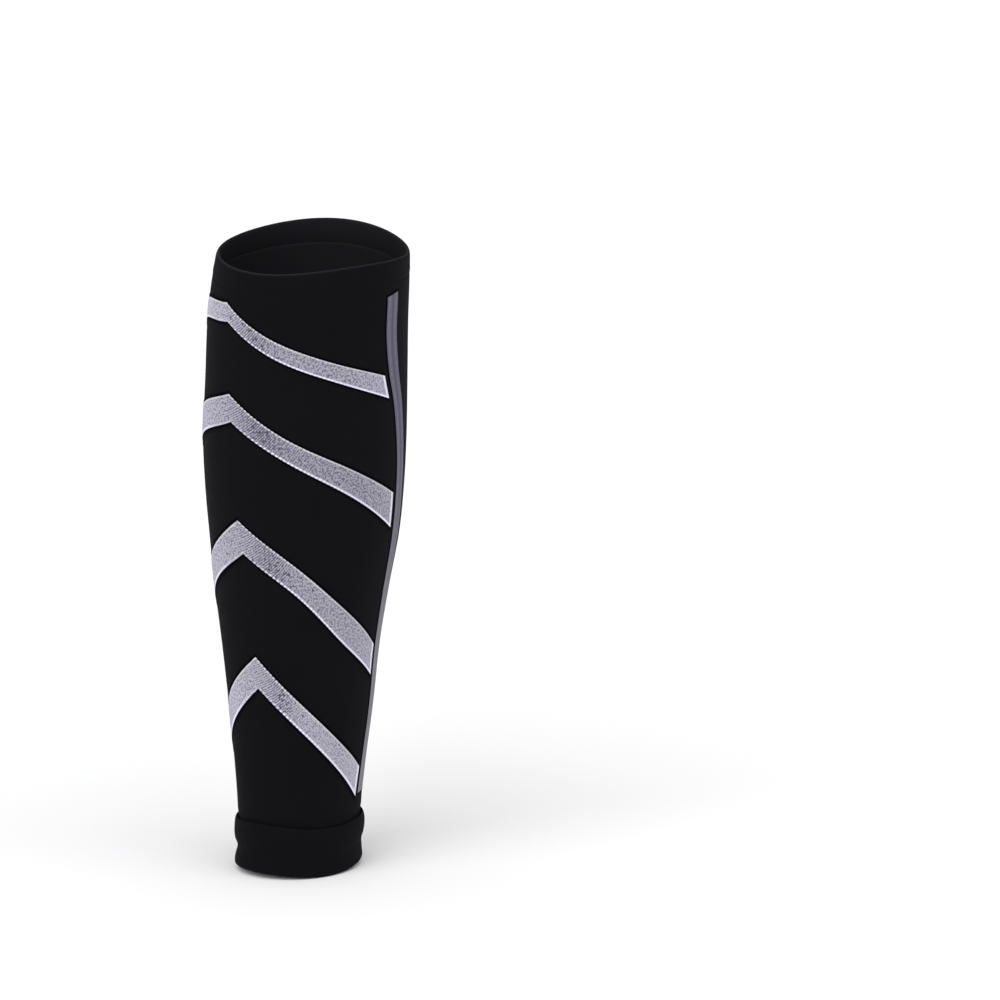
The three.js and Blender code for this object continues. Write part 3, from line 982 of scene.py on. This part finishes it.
class SLEEVE_OT_side_stripe(bpy.types.Operator):
    """Lay the stripe down the outer side"""

    bl_idname = "sleeve.side_stripe"
    bl_label = "Side stripe"

    COLUMNS = 16
    ROWS = 300
    THICKNESS = 0.16 * MM
    # how far out of the tube its face lies at least, and what its rounded crown and raised wales add
    EDGE_LIFT = 0.2 * MM
    CROWN_LIFT = 0.08 * MM
    WALE_LIFT = 0.1 * MM
    # how far in from the edge the crown starts, less than none in the outline, and how far in it is full
    CROWN_FOOT = -0.5 * MM
    CROWN_TOP = 0.5 * MM
    # where the two raised wales run and how far each reaches, as shares of the stripe's breadth
    WALES = (0.22, 0.78)
    WALE_REACH = 0.1

    def execute(self, context):
        s, leg = sizes(), Leg(sizes())
        bottom = s.ankle_cuff_height + s.stripe_to_ankle_cuff
        stripe = grid("side_stripe_band", self.COLUMNS, self.ROWS)
        edges = []
        for vertex in stripe.data.vertices:
            u, v = vertex.co.x + 0.5, vertex.co.y + 0.5
            front = mix(-s.stripe_outline, s.stripe_breadth + s.stripe_outline, u)
            back = s.stripe_breadth - front
            across = front / s.stripe_breadth
            top = leg.tube_top - s.stripe_to_top_cuff - s.stripe_slant * (1 - across)
            height = mix(bottom - s.stripe_outline, top + s.stripe_outline, v)
            end = min(height - bottom, top - height)
            edges.append((front, back, end))
            wales = sum(hump(across - wale, self.WALE_REACH) for wale in self.WALES)
            rise = crown(min(front, back, end), self.CROWN_FOOT, self.CROWN_TOP)
            offset = self.EDGE_LIFT + rise * (self.CROWN_LIFT + self.WALE_LIFT * wales)
            vertex.co = leg.at(leg.stripe_front(height, -front), height, offset)
        note(stripe, "edges", "FLOAT_VECTOR", "vector", edges)
        modify(stripe, "SOLIDIFY", thickness=self.THICKNESS, offset=-1.0)
        knit_uv(stripe, leg)
        finish_piece(stripe, "side_stripe", stripe_knit("grey_rib_stripe", colours()), "side_stripe")
        return {"FINISHED"}


class SLEEVE_OT_stage(bpy.types.Operator):
    """Set the floor, the soft lights and the camera"""

    bl_idname = "sleeve.stage"
    bl_label = "Stage"

    # the picture's size in pixels and its scale
    PICTURE = 1000
    METRES_PER_PIXEL = 0.54 * MM
    # the column and row in which a point of the leg's axis lies, and that point's height above the hem
    AXIS_COLUMN = 298.2
    HEM_ROW = 861.3
    HEM_LIFT = 1.0 * MM
    # where the camera stands, how far away, its sensor in millimetres and how far it sees
    TURN = math.radians(50)
    RAISED = math.radians(14)
    DISTANCE = 6.0
    SENSOR = 36.0
    SIGHT = 100.0
    # the floor's size and how far it lies below the hem
    FLOOR = 60.0
    FLOOR_GAP = 0.3 * MM
    # the light that comes from all round
    SKY_STRENGTH = 0.55
    # where the suns' objects stand, which makes no difference to their light
    SUN_DISTANCE = 3.0

    def execute(self, context):
        leg = Leg(sizes())
        low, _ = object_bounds()
        floor = start("studio_floor", bpy.ops.mesh.primitive_plane_add, size=self.FLOOR)
        for vertex in floor.data.vertices:
            vertex.co.z = low[2] - self.FLOOR_GAP
        floor.data.materials.append(studio_paper("white_backdrop_paper", colours().floor))
        floor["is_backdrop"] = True
        self.camera(leg)
        self.lights()
        return {"FINISHED"}

    def camera(self, leg):
        """Sets the camera so that the leg's axis and the hem fall where they do in the picture."""
        right = Vector((math.cos(self.TURN), math.sin(self.TURN), 0))
        back = towards(self.TURN, self.RAISED)
        middle = self.PICTURE / 2
        aim = right * (middle - self.AXIS_COLUMN) * self.METRES_PER_PIXEL
        aim.z += (self.HEM_ROW - middle) * self.METRES_PER_PIXEL / math.cos(self.RAISED)
        aim += Vector((0, 0, self.HEM_LIFT)) - leg.origin
        bpy.ops.object.camera_add(location=aim + back * self.DISTANCE)
        camera = bpy.context.active_object
        camera.name = "photo_camera"
        camera.rotation_euler = back.to_track_quat("Z", "Y").to_euler()
        camera.data.sensor_width = self.SENSOR
        camera.data.lens = self.SENSOR * self.DISTANCE / (self.PICTURE * self.METRES_PER_PIXEL)
        camera.data.clip_end = self.SIGHT
        bpy.context.scene.camera = camera

    def lights(self):
        """Sets a white sky and the soft suns."""
        world = bpy.data.worlds.new("soft_studio")
        world.use_nodes = True
        sky = world.node_tree.nodes["Background"]
        sky.inputs["Color"].default_value = (1, 1, 1, 1)
        sky.inputs["Strength"].default_value = self.SKY_STRENGTH
        bpy.context.scene.world = world
        bpy.context.scene.view_settings.view_transform = "Standard"
        for light in LIGHTS:
            away = towards(math.radians(light["turn"]), math.radians(light["raised"]))
            bpy.ops.object.light_add(type="SUN", location=away * self.SUN_DISTANCE)
            lamp = bpy.context.active_object
            lamp.name = light["name"]
            lamp.rotation_euler = away.to_track_quat("Z", "Y").to_euler()
            lamp.data.angle = math.radians(light["spread"])
            lamp.data.energy = light["strength"]


class SLEEVE_PT_panel(bpy.types.Panel):
    """Lists the sleeve's sizes, yarns and pieces"""

    bl_idname = "SLEEVE_PT_panel"
    bl_label = "Calf sleeve"
    bl_space_type = "VIEW_3D"
    bl_region_type = "UI"
    bl_category = "Sleeve"

    def draw(self, context):
        for group in (context.scene.sleeve_sizes, context.scene.sleeve_colours):
            column = self.layout.column(align=True)
            for name in group.__annotations__:
                column.prop(group, name)
        for operator in OPERATORS:
            self.layout.operator(operator.bl_idname)


OPERATORS = (
    SLEEVE_OT_cuffs,
    SLEEVE_OT_chevrons,
    SLEEVE_OT_side_stripe,
    SLEEVE_OT_leg_tube,
    SLEEVE_OT_stage,
)
CLASSES = (SleeveSizes, SleeveColours, *OPERATORS, SLEEVE_PT_panel)


def register():
    for cls in CLASSES:
        bpy.utils.register_class(cls)
    bpy.types.Scene.sleeve_sizes = PointerProperty(type=SleeveSizes)
    bpy.types.Scene.sleeve_colours = PointerProperty(type=SleeveColours)


def unregister():
    del bpy.types.Scene.sleeve_colours
    del bpy.types.Scene.sleeve_sizes
    for cls in reversed(CLASSES):
        bpy.utils.unregister_class(cls)


def main():
    register()
    bpy.ops.sleeve.cuffs()
    bpy.ops.sleeve.chevrons()
    bpy.ops.sleeve.side_stripe()
    bpy.ops.sleeve.leg_tube()
    bpy.ops.sleeve.stage()


if __name__ == "__main__":
    main()
